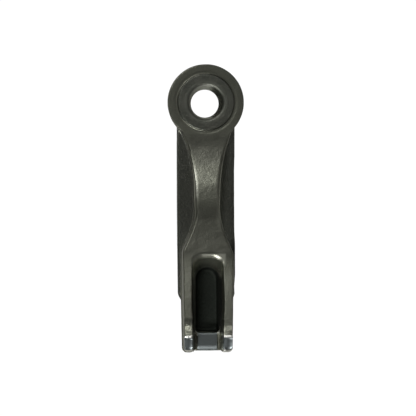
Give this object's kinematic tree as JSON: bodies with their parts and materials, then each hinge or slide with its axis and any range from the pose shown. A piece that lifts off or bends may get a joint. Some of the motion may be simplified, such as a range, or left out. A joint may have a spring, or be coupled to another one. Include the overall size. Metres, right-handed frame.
{
  "type": "rocker arm",
  "caption": "One-piece finger rocker arm for an overhead-cam valve train: a round eye with a ball seat, a curved cam slipper, a rib and a forked end with a valve pad between guide ears.",
  "frame": {"origin": "centre of the throat of the ball seat, on the eye axis, 1.5 mm below the raised seat face", "axes": "+Z along the eye axis, towards the side that faces the pivot ball and the valve stem; -Y along the arm to the valve end; X across the arm. The part lies on its cam slipper, whose apex is the lowest point."},
  "size_m": [0.02, 0.0757, 0.0152],
  "materials": {
    "forged_steel": "as-forged dark grey with ground and turned working faces"
  },
  "bodies": {
    "root": {"rocker_arm": "forged_steel"}
  },
  "joints": []
}
